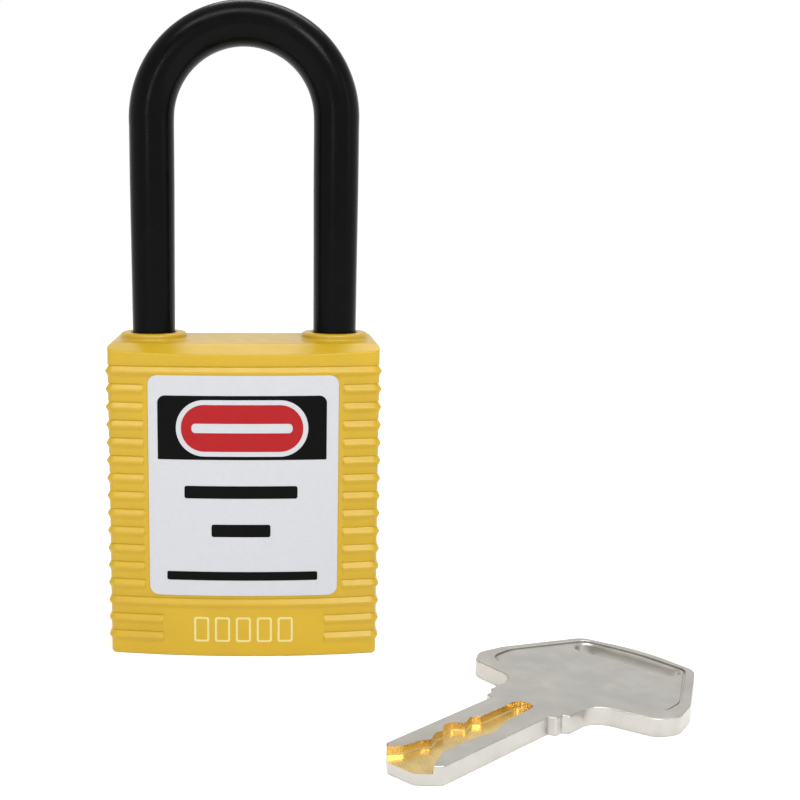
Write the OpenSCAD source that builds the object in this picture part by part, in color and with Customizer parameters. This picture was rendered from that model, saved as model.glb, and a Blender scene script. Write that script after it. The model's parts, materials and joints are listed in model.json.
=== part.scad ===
// Safety padlock: a ribbed moulded body, a long nylon shackle held by two bolts, a scroll cam
// that a key-turned plug drives, and the key itself, lying beside the padlock.
// Origin: centre of the padlock's base. +Z runs up the shackle and -Y is the front.

/* [Body] */
// Width of the body over its ribs
body_w = 36.4; // [36:0.2:40]
// Depth of the body over its ribs, at the middle
body_d = 20; // [19.6:0.2:24]
// Height of the body, without the bosses round the shackle's legs
body_h = 42; // [42:0.5:46]
// Radius of the bowed front and back faces
face_r = 100; // [60:5:200]
// How far the ribs stand proud
rib_out = 0.3; // [0.2:0.05:0.5]
// Distance from one rib to the next
rib_pitch = 2.4; // [2.2:0.05:2.5]
// Height of one rib
rib_h = 1.25; // [0.8:0.05:1.4]
// Number of ribs
rib_count = 16; // [12:1:16]

/* [Shackle] */
// Diameter of the shackle's rod
rod_d = 6; // [5.6:0.1:6.2]
// Distance from the middle of one leg to the middle of the other
leg_gap = 24.7; // [24.6:0.1:25]
// Height of the arch's inner crown above the base
crown_z = 80.7; // [60:0.1:120]
// How far the shackle lifts when it opens
lift = 11.5; // [11:0.1:12]

/* [Lock] */
// Turn of the plug from locked to open, in degrees
plug_turn = 90; // [80:5:90]
// How far each bolt draws in over that turn
bolt_stroke = 3.4; // [3.3:0.05:3.6]
// Radius of the plug
plug_r = 5.5; // [5.4:0.05:5.5]
// Number of sliding wafers in the plug
wafer_count = 6; // [6:1:6]

/* [Labels] */
// Width of a label
label_w = 25; // [20:0.5:25]
// Height of a label
label_h = 29.6; // [24:0.2:29.6]

/* [Key] */
// Width of the key's blade
blade_w = 8; // [7:0.1:8]
// Thickness of the key
key_t = 2.2; // [2.0:0.1:2.4]
// Where the key's shoulder lies on the floor, from the padlock's middle
key_at = [32.5, -31.5]; // [-80:0.1:80]
// Direction the key's bow points, from +X
key_yaw = 43; // [0:1:90]

/* [Hidden] */

yellow = [0.88, 0.73, 0.22];
nylon_black = [0.03, 0.03, 0.035];
label_white = [0.87, 0.86, 0.87];
steel = [0.72, 0.73, 0.75];
brass = [0.78, 0.62, 0.32];
nickel = [0.76, 0.75, 0.72];

cut = 0.5;                         // how far a cutting tool runs past what it cuts
slip = 0.06;                       // radial clearance of a running fit
gap = 0.1;                         // clearance between flat sliding faces

// Body levels and walls
base_d = body_d - 2 * rib_out;     // depth between the ribs
base_w = body_w - 2 * rib_out;     // width between the ribs
slope_run = 2.6;                   // depth of the sloped edge along the top
slope_drop = 1.3;                  // fall of that slope
side_bevel = 0.6;                  // bevel along the top of each side
boss_r = 4.5;
boss_h = 1.1;
boss_top = body_h + boss_h;
first_rib_z = body_h - rib_pitch;  // top of the highest rib
panel_w = 26;                      // width of the plain panel beside the short ribs
foot_panel_w = 21.2;               // width of the plain panel between the lowest two ribs
full_ribs = [0, 13];               // ribs that cross the whole front
rim_wall = 1.8;                    // wall round the recess that holds the bottom cover
cover_top = 2.6;
cover_low = 0.3;
cover_screw_at = [8, 6.1];
cover_screw_r = 0.9;
cover_head_r = 1.4;
cover_head_h = 0.8;                // height of the countersunk head's cone
cover_screw_l = 8;
cavity_r = 7.7;
cavity_top = body_h - 1.8;
label_t = 0.15;
label_drop = 3.9;                  // from the top of the body down to a label
label_corner = 1.2;

// Shackle
rod_r = rod_d / 2;
leg_x = leg_gap / 2;
arch_z = crown_z - (leg_x - rod_r);
toe_z = 32;
heel_z = 18;
bore_r = rod_r + slip;
chamber_r = 3.95;                  // wider bore that the heel's snap ring runs in
ring_r = 3.7;
ring_groove_r = 2.4;
ring_z = 20;
ring_t = 0.9;
chamber_top = ring_z + ring_t + lift + 0.3;
ring_gap = 2;                      // gap in the snap ring
spring_r = 2.6;
spring_wire_r = 0.45;
spring_turns = 8;
nose = 0.5;                        // chamfer at the end of a leg

// Bolts and their drive
bolt_z = 36.2;
bolt_t = 2.8;
bolt_half = 2;                     // half of a bolt's width
notch_depth = 1;
notch_ramp = 3.5;                  // length of the bevel below a notch
bolt_tip = leg_x - rod_r + notch_depth - 0.15;
bolt_tail = 4;
pin_r = 0.8;
pin_x = 5.6;                       // drive pin's distance from the axis when locked
pin_bottom = 33.2;
slot_r = pin_r + 0.08;
guide_top = cavity_top - 0.05;
guide_r = cavity_r - 0.05;
plate_z = 34.9;
plate_top = bolt_z - gap;
guide_screw_y = 5;
guide_screw_r = 0.8;
guide_head_r = 1.4;
guide_head_h = 0.6;

// Cylinder
cam_r = 7;
cam_z = 30.6;
cam_top = plate_z - 0.3;
cam_slot_z = 33;
housing_r = guide_r;
housing_top = 29.4;
rim_r = 7.2;                       // inside of the housing's upper rim, round the cam
plug_low = 0.5;
clip_t = 0.6;
clip_r = 6.4;
clip_groove_r = plug_r - 0.6;
clip_mouth = 3.2;
plug_top = housing_top + clip_t + 0.4;
tongue = [6, 2, 1.6];
keyway = [8.3, 2.5];
keyway_top = 23;
wafer_t = 1.2;
wafer_z = 5.5;
wafer_pitch = 2.9;
wafer_w = 5.2;
wafer_y = [1.5, 3.7];
sidebar_half = 0.6;
sidebar_low = wafer_z - 0.3;
sidebar_l = 16.8;
sidebar_spring_r = 0.35;
sidebar_spring_depth = 0.5;        // how far a sidebar spring is let into the plug
sidebar_spring_z = [wafer_z + 1.9, wafer_z + 13.5];
race_side = 1.2;                   // side of the V race that the sidebar's edge runs in
wafer_spring_r = 0.4;
wafer_finger = [1.2, 1.2];
wafer_notch = 1;

// Key, along its own axis from the shoulder: negative towards the tip
blade_l = 21;
bow_l = 27;
bow_half = 14;
neck_half = 5.6;
track_depth = 0.9;
ring_slot_u = 23.2;
ring_slot_half = 5.7;
ring_slot_r = 1.55;

// ---- shapes shared by several parts ----

// The body's outline seen from above, moved in by an amount: a rectangle with two bowed faces
module plan(inset = 0) {
    far = face_r - body_d / 2 + inset;
    intersection() {
        square([body_w - 2 * inset, body_d - 2 * inset], center = true);
        translate([0, far]) circle(r = face_r, $fn = 200);
        translate([0, -far]) circle(r = face_r, $fn = 200);
    }
}

// A tube, or a disc with a hole
module ring(r_out, r_in, h) {
    difference() {
        cylinder(r = r_out, h = h, $fn = 64);
        translate([0, 0, -cut]) cylinder(r = r_in, h = h + 2 * cut, $fn = 64);
    }
}

// A slot with round ends along X, from x1 to x2
module x_slot(x1, x2, r, h) {
    for (x = [x1, x2])
        translate([x, 0, 0]) cylinder(r = r, h = h, $fn = 32);
    translate([x1, -r, 0]) cube([x2 - x1, 2 * r, h]);
}

// Points of an arc that rounds the corner p between a and b
function unit(v) = v / norm(v);
function corner(a, p, b, r, steps) =
    let (
        u = unit(a - p),
        v = unit(b - p),
        half = acos(u * v) / 2,
        centre = p + unit(u + v) * (r / sin(half)),
        from = p + u * (r / tan(half)) - centre,
        to = p + v * (r / tan(half)) - centre,
        start = atan2(from[1], from[0]),
        sweep = (atan2(to[1], to[0]) - start + 540) % 360 - 180
    )
    [for (i = [0:steps]) centre + r * [cos(start + sweep * i / steps), sin(start + sweep * i / steps)]];

// A closed outline whose corners [x, y, radius] are rounded
function rounded(pts, steps = 8) =
    let (n = len(pts))
    [for (i = [0:n - 1])
        let (
            p = [pts[i][0], pts[i][1]],
            a = [pts[(i + n - 1) % n][0], pts[(i + n - 1) % n][1]],
            b = [pts[(i + 1) % n][0], pts[(i + 1) % n][1]]
        )
        each (pts[i][2] > 0 ? corner(a, p, b, pts[i][2], steps) : [p])];

// A closed tube along a helix about Z, as one polyhedron
module coil(r, wire_r, h, turns, per_turn = 14, sides = 6) {
    rings = turns * per_turn;
    climb = h - 2 * wire_r;
    pts = [for (i = [0:rings], j = [0:sides - 1])
        let (
            a = 360 * i / per_turn,
            b = 360 * j / sides,
            rr = r + wire_r * cos(b)
        )
        [rr * cos(a), rr * sin(a), wire_r + climb * i / rings + wire_r * sin(b)]];
    walls = [for (i = [0:rings - 1], j = [0:sides - 1])
        let (k = (j + 1) % sides)
        [i * sides + j, (i + 1) * sides + j, (i + 1) * sides + k, i * sides + k]];
    caps = [
        [for (j = [0:sides - 1]) j],
        [for (j = [sides - 1:-1:0]) rings * sides + j]
    ];
    polyhedron(points = pts, faces = concat(walls, caps), convexity = 10);
}

// ---- body ----

module rib(index) {
    z = first_rib_z - index * rib_pitch - rib_h;
    crosses = len(search(index, full_ribs)) > 0;
    clear_w = index < full_ribs[1] ? panel_w : foot_panel_w;
    difference() {
        translate([0, 0, z]) linear_extrude(rib_h) plan();
        if (!crosses)
            translate([-clear_w / 2, -body_d, z - cut]) cube([clear_w, 2 * body_d, rib_h + 2 * cut]);
    }
}

// The small bevel along the top of the right side
module side_bevel() {
    outer = body_w / 2 + cut;
    inner = base_w / 2 - side_bevel;
    rotate([90, 0, 0]) linear_extrude(2 * body_d, center = true)
        polygon([
            [inner, body_h], [outer, body_h - (outer - inner)],
            [outer, body_h + cut], [inner, body_h + cut]
        ]);
}

// The wedge cut off along the top of one face
module top_slope() {
    inner = -base_d / 2 + slope_run;
    outer = -body_d;
    low = body_h - slope_drop / slope_run * (inner - outer);
    rotate([90, 0, 90]) linear_extrude(body_w + 2, center = true)
        polygon([[inner, body_h], [inner, boss_top + 1], [outer, boss_top + 1], [outer, low]]);
}

module cover_plan(inset) {
    plan(inset = rib_out + rim_wall + inset);
}

module at_cover_screws() {
    for (x = [-1, 1], y = [-1, 1])
        translate([x * cover_screw_at[0], y * cover_screw_at[1], 0]) children();
}

module body_shell() {
    color(yellow) difference() {
        union() {
            linear_extrude(body_h) plan(inset = rib_out);
            for (i = [0:rib_count - 1])
                rib(i);
            for (x = [-leg_x, leg_x])
                translate([x, 0, body_h - 2]) cylinder(r = boss_r, h = boss_h + 2, $fn = 64);
        }
        top_slope();
        mirror([0, 1, 0]) top_slope();
        side_bevel();
        mirror([1, 0, 0]) side_bevel();
        translate([0, 0, -cut]) linear_extrude(cover_top + cut) cover_plan(0);
        cylinder(r = cavity_r, h = cavity_top, $fn = 64);
        translate([leg_x, 0, toe_z - 0.6]) cylinder(r = bore_r, h = body_h, $fn = 64);
        translate([-leg_x, 0, 0]) cylinder(r = bore_r, h = body_h + 2, $fn = 64);
        translate([-leg_x, 0, 0]) cylinder(r = chamber_r, h = chamber_top, $fn = 64);
        translate([-leg_x, -bolt_half - gap, bolt_z - gap])
            cube([2 * leg_x, 2 * (bolt_half + gap), bolt_t + 2 * gap]);
        at_cover_screws() cylinder(r = cover_screw_r, h = cover_top + cover_screw_l - 0.6, $fn = 32);
    }
}

module bottom_cover() {
    color(yellow) difference() {
        translate([0, 0, cover_low]) linear_extrude(cover_top - cover_low) cover_plan(0.1);
        translate([0, 0, -cut]) cylinder(r = plug_r + 0.3, h = 2 * cover_top, $fn = 64);
        at_cover_screws() {
            translate([0, 0, -cut]) cylinder(r = cover_screw_r, h = 2 * cover_top, $fn = 32);
            cover_screw_head();
        }
    }
}

module cover_screw_head() {
    translate([0, 0, cover_low]) cylinder(r1 = cover_head_r, r2 = cover_screw_r, h = cover_head_h, $fn = 32);
}

module cover_screws() {
    arm = [1.6, 0.3, 0.45];        // one arm of the cross recess: length, width, depth
    color(steel) at_cover_screws() difference() {
        union() {
            cover_screw_head();
            translate([0, 0, cover_low + cover_head_h])
                cylinder(r = cover_screw_r, h = cover_screw_l, $fn = 32);
        }
        for (turn = [0, 90])
            rotate([0, 0, turn]) translate([-arm[0] / 2, -arm[1] / 2, cover_low - cut])
                cube([arm[0], arm[1], cut + arm[2]]);
    }
}

// A thin plate that follows the bowed front face
module label() {
    low = body_h - label_drop - label_h;
    color(label_white) intersection() {
        translate([0, 0, low]) linear_extrude(label_h) difference() {
            plan(inset = rib_out - label_t - 0.02);
            plan(inset = rib_out - 0.02);
            translate([-body_w, 0]) square([2 * body_w, body_d]);
        }
        translate([0, 0, low]) rotate([90, 0, 0]) linear_extrude(body_d)
            polygon(rounded([
                [-label_w / 2, 0, label_corner], [label_w / 2, 0, label_corner],
                [label_w / 2, label_h, label_corner], [-label_w / 2, label_h, label_corner]
            ]));
    }
}

module front_label() { label(); }
module back_label() { rotate([0, 0, 180]) label(); }

// ---- shackle ----

// Notch in a leg's inner side, flat on top and bevelled below
module leg_notch() {
    inside = leg_x - rod_r - 1;
    floor_x = leg_x - rod_r + notch_depth;
    low = bolt_z - gap;
    fall = notch_ramp / notch_depth * (floor_x - inside);
    rotate([90, 0, 0]) linear_extrude(2 * rod_r + 2, center = true)
        polygon([
            [inside, bolt_z + bolt_t + 0.15], [floor_x, bolt_z + bolt_t + 0.15],
            [floor_x, low], [inside, low - fall]
        ]);
}

module leg(x, low) {
    translate([x, 0, low]) cylinder(r1 = rod_r - nose, r2 = rod_r, h = nose, $fn = 64);
    translate([x, 0, low + nose]) cylinder(r = rod_r, h = arch_z - low - nose, $fn = 64);
}

module shackle() {
    color(nylon_black) difference() {
        union() {
            translate([0, 0, arch_z]) rotate([90, 0, 0])
                rotate_extrude(angle = 180, $fn = 96) translate([leg_x, 0]) circle(r = rod_r, $fn = 64);
            leg(leg_x, toe_z);
            leg(-leg_x, heel_z);
        }
        leg_notch();
        mirror([1, 0, 0]) leg_notch();
        translate([-leg_x, 0, ring_z]) ring(rod_r + 1, ring_groove_r, ring_t + 0.05);
    }
}

module shackle_ring() {
    color(steel) translate([-leg_x, 0, ring_z]) difference() {
        ring(ring_r, ring_groove_r, ring_t);
        translate([-ring_gap / 2, 0, -cut]) cube([ring_gap, ring_r + 1, ring_t + 2 * cut]);
    }
}

module shackle_spring() {
    color(steel) translate([-leg_x, 0, cover_top + 0.02])
        coil(r = spring_r, wire_r = spring_wire_r, h = heel_z - cover_top - 0.07, turns = spring_turns);
}

// ---- bolts and cam ----

// A bolt on the +X side
module bolt() {
    difference() {
        translate([bolt_tail, -bolt_half, bolt_z]) cube([bolt_tip - bolt_tail, 2 * bolt_half, bolt_t]);
        translate([pin_x, 0, bolt_z - cut]) cylinder(r = pin_r, h = bolt_t + 2 * cut, $fn = 32);
    }
}

module drive_pin() {
    translate([pin_x, 0, pin_bottom]) cylinder(r = pin_r, h = bolt_z + bolt_t - pin_bottom, $fn = 32);
}

module bolt_right() { color(steel) bolt(); }
module bolt_left() { color(steel) mirror([1, 0, 0]) bolt(); }
module drive_pin_right() { color(steel) drive_pin(); }
module drive_pin_left() { color(steel) mirror([1, 0, 0]) drive_pin(); }

module at_guide_screws() {
    for (y = [-guide_screw_y, guide_screw_y])
        translate([0, y, 0]) children();
}

module bolt_guide() {
    color(steel) difference() {
        translate([0, 0, plate_top]) cylinder(r = guide_r, h = guide_top - plate_top, $fn = 64);
        translate([-cavity_r - 1, -bolt_half - gap / 2, plate_top - cut])
            cube([2 * cavity_r + 2, 2 * bolt_half + gap, bolt_z + bolt_t + gap / 2 - plate_top + cut]);
        at_guide_screws() cylinder(r = guide_screw_r, h = bolt_z + bolt_t, $fn = 32);
    }
}

module guide_plate() {
    in = pin_x - bolt_stroke - 0.1;
    color(brass) difference() {
        translate([0, 0, plate_z]) cylinder(r = guide_r, h = plate_top - plate_z, $fn = 64);
        for (turn = [0, 180])
            rotate([0, 0, turn]) translate([0, 0, plate_z - cut]) x_slot(in, pin_x + 0.1, slot_r, 3);
        at_guide_screws() {
            translate([0, 0, plate_z - cut]) cylinder(r = guide_screw_r, h = 3, $fn = 32);
            translate([0, 0, plate_z - cut]) cylinder(r = guide_head_r, h = cut + guide_head_h, $fn = 32);
        }
    }
}

module guide_screws() {
    color(steel) at_guide_screws() {
        translate([0, 0, plate_z]) cylinder(r = guide_head_r - 0.05, h = guide_head_h, $fn = 32);
        translate([0, 0, plate_z + guide_head_h]) cylinder(r = guide_screw_r - 0.02, h = 3.4, $fn = 32);
    }
}

// Centre line of a scroll slot: the radius falls evenly as the cam turns
function scroll_r(turn) = pin_x - bolt_stroke * turn / plug_turn;
function scroll_point(turn, side) =
    let (
        r = scroll_r(turn),
        fall = bolt_stroke / plug_turn * 180 / PI,
        out = [cos(turn), -sin(turn)],
        round = [-sin(turn), -cos(turn)],
        across = unit([r, fall])
    )
    r * out + side * slot_r * (across[0] * out + across[1] * round);

module scroll_slot() {
    steps = 24;
    sweep = [for (i = [0:steps]) plug_turn * i / steps];
    back = [for (i = [steps:-1:0]) plug_turn * i / steps];
    linear_extrude(cam_top - cam_slot_z + cut)
        polygon(concat([for (t = sweep) scroll_point(t, 1)], [for (t = back) scroll_point(t, -1)]));
    for (t = [0, plug_turn])
        translate(scroll_r(t) * [cos(t), -sin(t), 0])
            cylinder(r = slot_r, h = cam_top - cam_slot_z + cut, $fn = 32);
}

module scroll_cam() {
    color(brass) difference() {
        translate([0, 0, cam_z]) cylinder(r = cam_r, h = cam_top - cam_z, $fn = 64);
        for (turn = [0, 180])
            rotate([0, 0, turn]) translate([0, 0, cam_slot_z]) scroll_slot();
        translate([-tongue[0] / 2 - 0.05, -tongue[1] / 2 - 0.05, cam_z - cut])
            cube([tongue[0] + 0.1, tongue[1] + 0.1, tongue[2] + cut]);
    }
}

// ---- cylinder ----

module cylinder_housing() {
    color(brass) difference() {
        translate([0, 0, cover_top]) cylinder(r = housing_r, h = plate_z - cover_top, $fn = 64);
        cylinder(r = plug_r + slip, h = housing_top + 1, $fn = 64);
        translate([0, 0, housing_top]) cylinder(r = rim_r, h = 10, $fn = 64);
        translate([0, plug_r, sidebar_low - 0.7]) rotate([0, 0, 45])
            translate([-race_side / 2, -race_side / 2, 0]) cube([race_side, race_side, sidebar_l + 1.2]);
    }
}

module wafer_slot(index) {
    translate([-3.5, 0, wafer_z + index * wafer_pitch - gap / 2])
        cube([7, wafer_y[1] + 0.1, wafer_t + gap]);
}

module at_sidebar_springs() {
    for (z = sidebar_spring_z)
        translate([0, wafer_y[1] - sidebar_spring_depth, z]) rotate([-90, 0, 0]) children();
}

module plug() {
    color(brass) difference() {
        union() {
            translate([0, 0, plug_low]) cylinder(r = plug_r, h = plug_top - plug_low, $fn = 64);
            translate([-tongue[0] / 2, -tongue[1] / 2, plug_top])
                cube([tongue[0], tongue[1], tongue[2]]);
        }
        translate([-keyway[0] / 2, -keyway[1] / 2, 0]) cube([keyway[0], keyway[1], keyway_top]);
        for (i = [0:wafer_count - 1])
            wafer_slot(i);
        translate([-sidebar_half - 0.05, wafer_y[1], sidebar_low - 0.2])
            cube([2 * sidebar_half + 0.1, 3, sidebar_l + 0.4]);
        at_sidebar_springs()
            cylinder(r = sidebar_spring_r + 0.03, h = 1, $fn = 24);
        translate([0, 0, housing_top]) ring(plug_r + 1, clip_groove_r, clip_t);
    }
}

module plug_clip() {
    color(steel) translate([0, 0, housing_top]) difference() {
        ring(clip_r, clip_groove_r, clip_t);
        translate([-clip_mouth / 2, 0, -cut]) cube([clip_mouth, clip_r + 1, clip_t + 2 * cut]);
    }
}

// A sliding wafer: a plate with a finger that reaches into the key's track
module wafer(index) {
    shift = 0.45 * sin(index * 140);
    finger_x = -1.4 + 0.8 * cos(index * 100);
    z = wafer_z + index * wafer_pitch;
    color(brass) difference() {
        union() {
            translate([shift - wafer_w / 2, wafer_y[0], z])
                cube([wafer_w, wafer_y[1] - wafer_y[0] - 0.1, wafer_t]);
            translate([shift + finger_x - wafer_finger[0] / 2, 0.7, z])
                cube([wafer_finger[0], wafer_finger[1], wafer_t]);
        }
        translate([shift - wafer_notch / 2, wafer_y[1] - 0.7, z - cut])
            cube([wafer_notch, 1, wafer_t + 2 * cut]);
    }
}

module wafer_springs() {
    low = wafer_w / 2 + 0.47;
    color(steel) for (i = [0:wafer_count - 1])
        translate([low, 2.6, wafer_z + i * wafer_pitch + wafer_t / 2]) rotate([0, 90, 0])
            ring(wafer_spring_r, wafer_spring_r - 0.18, 3.45 - low);
}

module sidebar() {
    color(brass) intersection() {
        translate([-sidebar_half, wafer_y[1] + 0.3, sidebar_low]) cube([2 * sidebar_half, 3, sidebar_l]);
        cylinder(r = plug_r - 0.05, h = 30, $fn = 64);
    }
}

module sidebar_springs() {
    color(steel) at_sidebar_springs()
        translate([0, 0, 0.01]) ring(sidebar_spring_r, sidebar_spring_r - 0.15, sidebar_spring_depth + 0.28);
}

// ---- key ----

// Blade, shoulders, neck and bow, seen from above
module key_outline() {
    half = blade_w / 2;
    side = [
        [-blade_l, half - 2.2, 0], [-blade_l + 2.2, half, 0], [0, half, 0], [0.3, half + 0.9, 0.3],
        [1.6, half + 0.9, 0.3], [2, neck_half, 0.3], [7, neck_half, 2.8], [8.4, bow_half - 1.2, 2],
        [11, bow_half + 0.3, 2.6], [15, bow_half - 0.6, 6], [bow_l - 1.2, 8.2, 2.2]
    ];
    n = len(side);
    polygon(rounded(concat(
        side,
        [[bow_l + 0.3, 0, 20]],
        [for (i = [n - 1:-1:0]) [side[i][0], -side[i][1], side[i][2]]]
    )));
}

// The milled track: a pocket that wanders, then opens towards the tip
module key_track() {
    translate([0, 0, key_t - track_depth]) linear_extrude(track_depth + cut)
        polygon(rounded([
            [-blade_l - 1, -4.6, 0], [-19.2, -3, 1.5], [-16, -1.6, 2], [-11.5, -1.7, 2], [-7.8, -2.3, 2],
            [-4.7, -1.5, 2], [1.6, -1.2, 1.15], [1.6, 1.2, 1.15], [-5.6, 1.2, 0.4], [-6.6, 1.95, 0.5],
            [-8.3, 1.25, 0.5], [-9.4, 2.5, 0.5], [-10.6, 2.6, 0.5], [-11.8, 1.7, 0.5], [-13, 1.85, 0.6],
            [-14.6, 1.1, 0.6], [-15.8, 1.75, 0.6], [-18, 2.1, 1], [-blade_l - 1, 4.6, 0]
        ]));
}

module key() {
    color(nickel) translate([key_at[0], key_at[1], 0]) rotate([0, 0, key_yaw]) difference() {
        linear_extrude(key_t) key_outline();
        key_track();
        translate([ring_slot_u, 0, -cut]) rotate([0, 0, 90])
            x_slot(-ring_slot_half, ring_slot_half, ring_slot_r, key_t + 2 * cut);
    }
}

body_shell();
bottom_cover();
cover_screws();
front_label();
back_label();
shackle();
shackle_ring();
shackle_spring();
bolt_left();
bolt_right();
drive_pin_left();
drive_pin_right();
bolt_guide();
guide_plate();
guide_screws();
scroll_cam();
cylinder_housing();
plug();
plug_clip();
wafer(0);  // wafer_1
wafer(1);  // wafer_2
wafer(2);  // wafer_3
wafer(3);  // wafer_4
wafer(4);  // wafer_5
wafer(5);  // wafer_6
wafer_springs();
sidebar();
sidebar_springs();
key();
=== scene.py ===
"""Safety padlock and its key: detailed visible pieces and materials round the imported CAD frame."""

import json
import math

import bmesh
import bpy
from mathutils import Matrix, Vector
from mathutils.geometry import delaunay_2d_cdt


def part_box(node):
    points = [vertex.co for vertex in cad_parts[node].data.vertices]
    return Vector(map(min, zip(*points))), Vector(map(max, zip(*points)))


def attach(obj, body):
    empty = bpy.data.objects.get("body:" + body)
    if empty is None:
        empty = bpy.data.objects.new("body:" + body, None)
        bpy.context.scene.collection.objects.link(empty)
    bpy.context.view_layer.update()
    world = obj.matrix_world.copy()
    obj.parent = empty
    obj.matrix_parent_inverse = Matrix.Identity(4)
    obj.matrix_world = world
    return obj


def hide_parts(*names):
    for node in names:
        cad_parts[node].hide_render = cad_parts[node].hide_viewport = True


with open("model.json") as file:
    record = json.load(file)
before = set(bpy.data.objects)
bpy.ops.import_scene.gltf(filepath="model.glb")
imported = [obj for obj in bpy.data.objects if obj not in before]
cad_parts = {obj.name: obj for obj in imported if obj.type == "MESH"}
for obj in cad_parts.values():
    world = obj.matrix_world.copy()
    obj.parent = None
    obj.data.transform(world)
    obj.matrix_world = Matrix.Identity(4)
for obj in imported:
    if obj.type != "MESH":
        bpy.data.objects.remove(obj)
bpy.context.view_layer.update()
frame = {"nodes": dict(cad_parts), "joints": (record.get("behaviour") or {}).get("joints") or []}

MM = 0.001  # shapes are worked out in millimetres and stored in metres


def box_mm(node):
    """Lowest and highest corner of a CAD node, in millimetres."""
    low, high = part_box(node)
    return Vector(low) / MM, Vector(high) / MM


# ---------------------------------------------------------------- sizes from the frame

SHELL_HIGH = box_mm("body_shell")[1]
SHACKLE_LOW, SHACKLE_HIGH = box_mm("shackle")
LABEL_LOW, LABEL_HIGH = box_mm("front_label")
COVER_HIGH = box_mm("bottom_cover")[1]
KEY_HIGH = box_mm("key")[1]
HOUSING_HIGH = box_mm("cylinder_housing")[1]
GUIDE_HIGH = box_mm("bolt_guide")[1]
BOLT_LOW, BOLT_HIGH = box_mm("bolt_right")
RING_LOW, RING_HIGH = box_mm("shackle_ring")

# Body
RIB_OUT = 0.3  # how far the ribs stand out
BOSS_H = 1.1  # height of the CAD's bosses above the body's top
BODY_H = SHELL_HIGH.z - BOSS_H
HALF_W = SHELL_HIGH.x - RIB_OUT
HALF_D = 9.7  # half the depth between the ribs, at the middle of a face
FACE_R = 100.0  # radius of the front's and the back's bow
RIB_PITCH = 2.4
RIB_COUNT = 16
FULL_RIBS = (0, 13)  # counted from the top; these cross the faces from edge to edge
PANEL_HALF = 13.0  # half the width that the other ribs leave free
FOOT_PANEL_HALF = 10.6
FOOT_RIB = 13  # from this rib down, the free panel is the narrower one
SLOPE_RUN = 2.6  # depth of the sloped edge along the top
SLOPE_DROP = 1.3  # its height
SLOPE_BOW = 0.45  # how much of the faces' bow the slopes follow
CORNER_R = 0.9
RIM_WALL = 1.8  # wall round the bottom cover
FOOT_R = 0.3  # rounded lower edge
TOP_R = 0.6  # rounded upper edge at the sides
SLOPE_R = 0.12  # rounding between a slope and the top face
SLOPE_BLEND = 0.22  # rounding between a slope and a face
SLOPE_NEAR = 0.4  # the slope acts on points within this distance of it
FACE_FROM_Y = 6.5  # beyond this depth a point lies on the front or the back
BOSS_R = 4.5
BOSS_LOWER = 0.22  # how much lower than the CAD's the bosses are
BOSS_FILLET = 0.3
BOSS_EDGE_R = 0.4
MOUTH_R = 0.25  # rounded edge of a leg's bore
MOUTH_FLAT = 0.3  # distance from the bore to the boss's flat top
SCREW_AT = (8, 6.1)
SCREW_R = 0.9
SCREW_TOP = 10.0
SCREW_SIDES = 24
ROUND_SIDES = 72
PASSAGE_HALF = 2.1  # half the width of the bolts' passage
PASSAGE_GAP = 0.1

# Shackle
ROD_R = (SHACKLE_HIGH.y - SHACKLE_LOW.y) / 2
LEG_X = SHACKLE_HIGH.x - ROD_R
ARCH_Z = SHACKLE_HIGH.z - LEG_X - ROD_R
LIFT = next(j for j in frame["joints"] if j["name"] == "shackle_lift")["range_m"][1] / MM
HEEL_Z = SHACKLE_LOW.z
TOE_Z = 32.0  # lower end of the toe leg
BORE_R = ROD_R + 0.06

# Key, along its own axis from the shoulder towards the bow
KEY_T = KEY_HIGH.z  # thickness
KEY_AT = Vector((32.5, -31.5))
KEY_YAW = math.radians(43)


# ---------------------------------------------------------------- camera, first of all

CAMERA_AT = Vector((2.6, -168.8, 59.8))
CAMERA_PITCH = math.radians(8.89)
CAMERA_YAW = math.radians(-0.46)
SENSOR = 36.0
LENS = 55.7
SHIFT_X = 0.1834  # the photograph's padlock, seen straight on, stands left of the middle


def make_camera():
    data = bpy.data.cameras.new("camera")
    data.sensor_width = SENSOR
    data.lens = LENS
    data.shift_x = SHIFT_X
    data.clip_start = 0.01
    data.clip_end = 50
    camera = bpy.data.objects.new("camera", data)
    camera.location = CAMERA_AT * MM
    camera.rotation_euler = (math.pi / 2 - CAMERA_PITCH, 0, -CAMERA_YAW)
    bpy.context.scene.collection.objects.link(camera)
    bpy.context.scene.camera = camera


make_camera()


# ---------------------------------------------------------------- material graphs


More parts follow.
